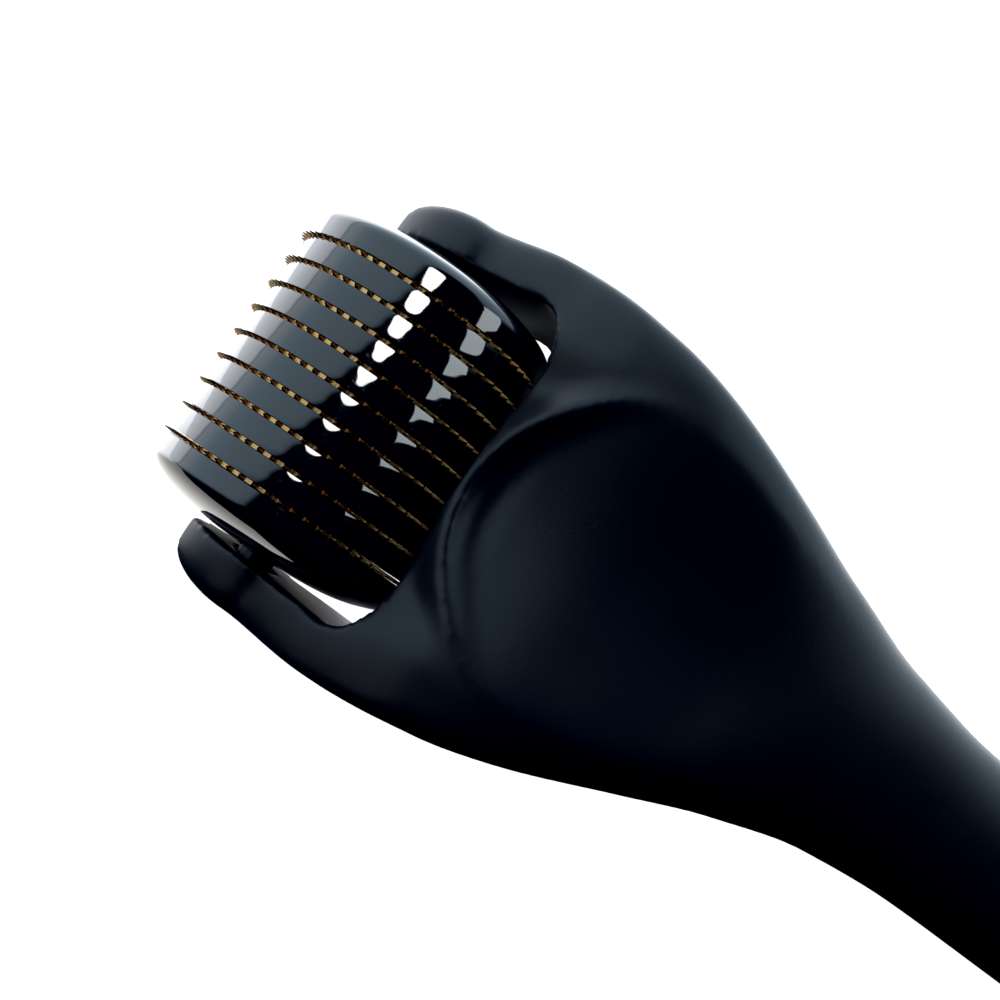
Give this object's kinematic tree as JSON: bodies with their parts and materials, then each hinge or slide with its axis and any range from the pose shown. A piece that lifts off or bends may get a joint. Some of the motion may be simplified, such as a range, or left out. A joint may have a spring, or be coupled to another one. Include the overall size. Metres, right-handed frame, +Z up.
{
  "type": "derma roller",
  "caption": "Hand-held derma roller: a forked, arched handle with a thumb dish holds a drum of toothed needle discs and rings that spins on its axle.",
  "frame": {"origin": "on the floor under the centre of the bounding box, with the roller lying on its needle tips and on the flat under the handle's tail", "axes": "+X along the drum's axle, +Y towards the drum, +Z up, out of the thumb dish"},
  "size_m": [0.0362, 0.135, 0.0273],
  "materials": {
    "soft_touch_black": "soft-touch matte",
    "gloss_black": "polished",
    "gold_needles": "gold-tone coated, etched edge",
    "core_plastic": "as moulded",
    "axle_steel": "ground"
  },
  "bodies": {
    "handle": {"handle": "soft_touch_black"},
    "roller": {"needle_disc_1": "gold_needles", "needle_disc_2": "gold_needles", "needle_disc_3": "gold_needles", "needle_disc_4": "gold_needles", "needle_disc_5": "gold_needles", "needle_disc_6": "gold_needles", "needle_disc_7": "gold_needles", "needle_disc_8": "gold_needles", "needle_disc_9": "gold_needles", "spacer_ring_1": "gloss_black", "spacer_ring_2": "gloss_black", "spacer_ring_3": "gloss_black", "spacer_ring_4": "gloss_black", "spacer_ring_5": "gloss_black", "spacer_ring_6": "gloss_black", "spacer_ring_7": "gloss_black", "spacer_ring_8": "gloss_black", "end_cap_left": "gloss_black", "end_cap_right": "gloss_black", "drum_core": "core_plastic", "axle_pin": "axle_steel"}
  },
  "joints": [
    {"name": "roller_spin", "type": "hinge", "parent": "handle", "child": "roller", "pos_m": [0, 0.0565, 0.011], "axis": [1, 0, 0], "continuous": true}
  ]
}
